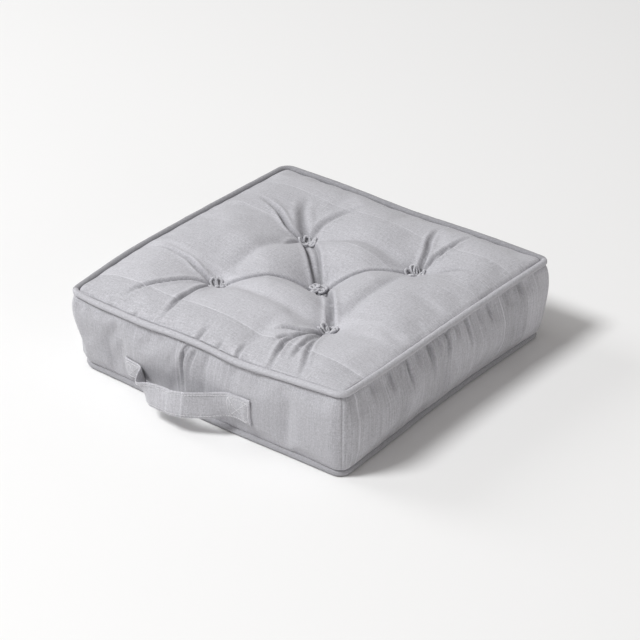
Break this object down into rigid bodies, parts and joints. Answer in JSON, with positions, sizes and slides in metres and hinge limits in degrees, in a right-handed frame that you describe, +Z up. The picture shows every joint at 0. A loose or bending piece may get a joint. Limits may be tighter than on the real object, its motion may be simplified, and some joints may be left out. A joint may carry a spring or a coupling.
{
  "type": "floor cushion",
  "caption": "Square piped box cushion for sitting on the floor, with tied yarn tufts on top and a fabric strap handle sewn to one side.",
  "frame": {"origin": "middle of the flat base, on the floor", "axes": "+Z up; X along the panel that carries the handle, which faces -Y"},
  "size_m": [0.419, 0.4496, 0.1201],
  "materials": {
    "cover_fabric": "heathered plain weave cotton with woven pinstripes",
    "piping_fabric": "the cover's cloth, cut on the bias round a cord",
    "handle_fabric": "the cover's cloth, folded and topstitched",
    "tuft_yarn": "soft twisted cotton yarn",
    "stitch_thread": "sewing thread",
    "piping_cord": "plain cotton cord",
    "filling": "polyester fibre"
  },
  "bodies": {
    "cushion": {"top_panel": "cover_fabric", "base_panel": "cover_fabric", "side_panel_front": "cover_fabric", "side_panel_right": "cover_fabric", "side_panel_back": "cover_fabric", "side_panel_left": "cover_fabric", "filling": "filling", "top_piping_cover": "piping_fabric", "top_piping_cord": "piping_cord", "base_piping_cover": "piping_fabric", "base_piping_cord": "piping_cord", "tuft_tie_centre": "tuft_yarn", "tuft_bow_centre": "tuft_yarn", "tuft_knot_centre": "tuft_yarn", "tuft_tie_front": "tuft_yarn", "tuft_bow_front": "tuft_yarn", "tuft_knot_front": "tuft_yarn", "tuft_tie_right": "tuft_yarn", "tuft_bow_right": "tuft_yarn", "tuft_knot_right": "tuft_yarn", "tuft_tie_back": "tuft_yarn", "tuft_bow_back": "tuft_yarn", "tuft_knot_back": "tuft_yarn", "tuft_tie_left": "tuft_yarn", "tuft_bow_left": "tuft_yarn", "tuft_knot_left": "tuft_yarn", "handle_end_left": "handle_fabric", "handle_leg_left": "handle_fabric", "handle_stitching_left": "stitch_thread", "handle_end_right": "handle_fabric", "handle_leg_right": "handle_fabric", "handle_stitching_right": "stitch_thread"},
    "handle": {"handle_loop": "handle_fabric"}
  },
  "joints": [
    {"name": "handle_swing", "type": "hinge", "parent": "cushion", "child": "handle", "pos_m": [-0.028, -0.20785, 0.037], "axis": [-1, 0, 0], "range_deg": [-50, 45]}
  ]
}
